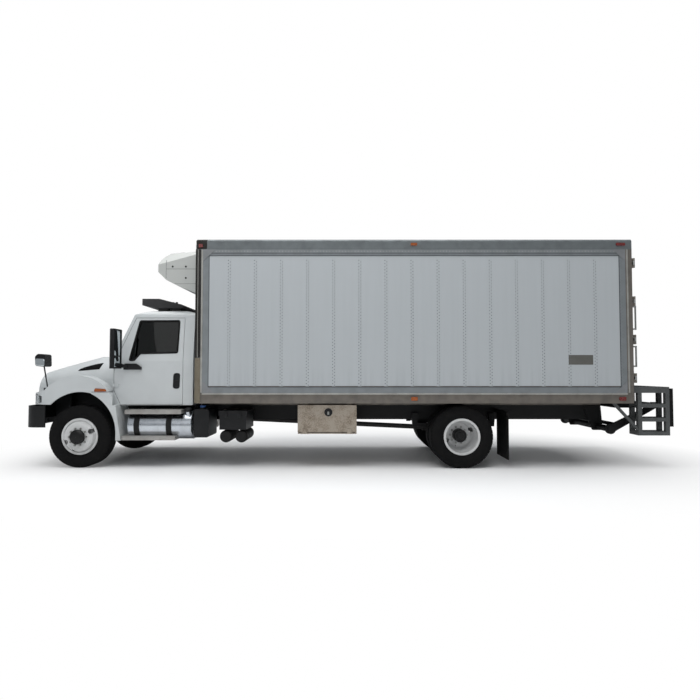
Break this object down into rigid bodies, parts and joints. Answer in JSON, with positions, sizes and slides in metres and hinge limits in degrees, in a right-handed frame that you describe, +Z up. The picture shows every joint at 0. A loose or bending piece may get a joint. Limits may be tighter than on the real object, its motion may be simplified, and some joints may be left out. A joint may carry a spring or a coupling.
{
  "type": "refrigerated box truck",
  "caption": "Straight truck with a hooded cab, tilting hood, insulated box with a cooling unit on its front wall, hinged rear doors and a tuck-under lift.",
  "frame": {"origin": "on the ground under the middle of the truck's length and width", "axes": "+X forward, +Y to the driver's left, +Z up"},
  "size_m": [10.988, 2.86, 3.847],
  "materials": {
    "frame_black": "satin black chassis paint",
    "shaft_grey": "raw iron and steel",
    "bumper_black": "satin black",
    "cab_white": "white enamel",
    "wheel_white": "white enamel on steel discs",
    "tyre": "rubber",
    "glass": "tinted glass",
    "cabin_grey": "grained trim",
    "seat_cloth": "woven cloth",
    "black_plastic": "moulded black",
    "tank_aluminium": "polished",
    "canister_steel": "stainless",
    "air_tank_grey": "grey-black paint",
    "toolbox_steel": "weathered stainless",
    "unit_grey": "dark grey moulding",
    "box_white": "white sheet panels",
    "box_rail": "dull aluminium extrusions",
    "lamp_lens": "lens",
    "head_lens": "clear lens",
    "cooler_grey": "light grey moulded skin",
    "rubber": "black rubber",
    "tread_steel": "black steel, worn treadplate"
  },
  "bodies": {
    "chassis": {"chassis_frame": "frame_black", "front_bumper": "bumper_black", "engine": "shaft_grey", "drive_shaft": "shaft_grey", "front_axle": "frame_black", "leaf_springs": "frame_black", "rear_axle": "frame_black", "cab_shell": "cab_white", "windscreen": "glass", "dashboard": "cabin_grey", "steering_wheel": "cabin_grey", "seats": "seat_cloth", "fuel_tank": "tank_aluminium", "exhaust_canister": "canister_steel", "tank_steps": "frame_black", "fender_extensions": "cab_white", "urea_tank": "black_plastic", "battery_box": "black_plastic", "air_tanks": "air_tank_grey", "toolbox": "toolbox_steel", "roof_unit": "unit_grey", "box_floor": "box_rail", "box_walls": "box_white", "box_front": "box_white", "box_roof": "box_rail", "rear_header": "box_rail", "rear_posts": "box_rail", "marker_lamps": "lamp_lens", "cooling_unit": "cooler_grey", "mud_flaps": "rubber", "rear_steps": "tread_steel", "dock_bumpers": "rubber"},
    "hood_body": {"hood": "cab_white", "grille": "black_plastic", "hood_lamps": "head_lens", "hood_mirrors": "black_plastic"},
    "steer_left_body": {"knuckle_left": "frame_black"},
    "front_wheel_left_body": {"front_wheel_left": "wheel_white", "front_tyre_left": "tyre"},
    "rear_wheels_left_body": {"rear_wheels_left": "wheel_white", "rear_tyres_left": "tyre"},
    "cab_door_left_body": {"cab_door_left": "cab_white", "door_glass_left": "glass", "door_mirror_left": "black_plastic"},
    "rear_door_left_body": {"rear_door_left": "box_white"},
    "steer_right_body": {"knuckle_right": "frame_black"},
    "front_wheel_right_body": {"front_wheel_right": "wheel_white", "front_tyre_right": "tyre"},
    "rear_wheels_right_body": {"rear_wheels_right": "wheel_white", "rear_tyres_right": "tyre"},
    "cab_door_right_body": {"cab_door_right": "cab_white", "door_glass_right": "glass", "door_mirror_right": "black_plastic"},
    "rear_door_right_body": {"rear_door_right": "box_white"},
    "toolbox_door_body": {"toolbox_door": "toolbox_steel"},
    "lift_arms_body": {"lift_arms": "frame_black"},
    "lift_platform_body": {"lift_platform": "frame_black"}
  },
  "joints": [
    {"name": "hood_tilt", "type": "hinge", "parent": "chassis", "child": "hood_body", "pos_m": [5.408, 0, 1.055], "axis": [0, 1, 0], "range_deg": [0, 75]},
    {"name": "steer_left", "type": "hinge", "parent": "chassis", "child": "steer_left_body", "pos_m": [4.478, 0.9, 0.526], "axis": [0, 0, 1], "range_deg": [-40, 40]},
    {"name": "front_spin_left", "type": "hinge", "parent": "steer_left_body", "child": "front_wheel_left_body", "pos_m": [4.478, 1.025, 0.526], "axis": [0, 1, 0], "continuous": true},
    {"name": "rear_spin_left", "type": "hinge", "parent": "chassis", "child": "rear_wheels_left_body", "pos_m": [-1.974, 0.909, 0.526], "axis": [0, 1, 0], "continuous": true},
    {"name": "cab_door_swing_left", "type": "hinge", "parent": "chassis", "child": "cab_door_left_body", "pos_m": [3.974, 1.044, 1.545], "axis": [0, 0, -1], "range_deg": [0, 70]},
    {"name": "rear_door_swing_left", "type": "hinge", "parent": "chassis", "child": "rear_door_left_body", "pos_m": [-4.852, 1.299, 2.5], "axis": [0, 0, -1], "range_deg": [0, 225]},
    {"name": "steer_right", "type": "hinge", "parent": "chassis", "child": "steer_right_body", "pos_m": [4.478, -0.9, 0.526], "axis": [0, 0, 1], "range_deg": [-40, 40]},
    {"name": "front_spin_right", "type": "hinge", "parent": "steer_right_body", "child": "front_wheel_right_body", "pos_m": [4.478, -1.025, 0.526], "axis": [0, 1, 0], "continuous": true},
    {"name": "rear_spin_right", "type": "hinge", "parent": "chassis", "child": "rear_wheels_right_body", "pos_m": [-1.974, -0.909, 0.526], "axis": [0, 1, 0], "continuous": true},
    {"name": "cab_door_swing_right", "type": "hinge", "parent": "chassis", "child": "cab_door_right_body", "pos_m": [3.974, -1.044, 1.545], "axis": [0, 0, 1], "range_deg": [0, 70]},
    {"name": "rear_door_swing_right", "type": "hinge", "parent": "chassis", "child": "rear_door_right_body", "pos_m": [-4.852, -1.299, 2.5], "axis": [0, 0, 1], "range_deg": [0, 225]},
    {"name": "toolbox_drop", "type": "hinge", "parent": "chassis", "child": "toolbox_door_body", "pos_m": [0.292, 1.208, 0.589], "axis": [-1, 0, 0], "range_deg": [0, 90]},
    {"name": "lift_lower", "type": "hinge", "parent": "chassis", "child": "lift_arms_body", "pos_m": [-4.634, 0, 0.623], "axis": [0, -1, 0], "range_deg": [0, 58]},
    {"name": "platform_level", "type": "hinge", "parent": "lift_arms_body", "child": "lift_platform_body", "pos_m": [-5.445, 0, 1.046], "axis": [0, -1, 0], "range_deg": [-58, 0]}
  ],
  "couplings": [
    {"joint": "steer_right", "follows": "steer_left", "ratio": 1},
    {"joint": "platform_level", "follows": "lift_lower", "ratio": -1}
  ]
}
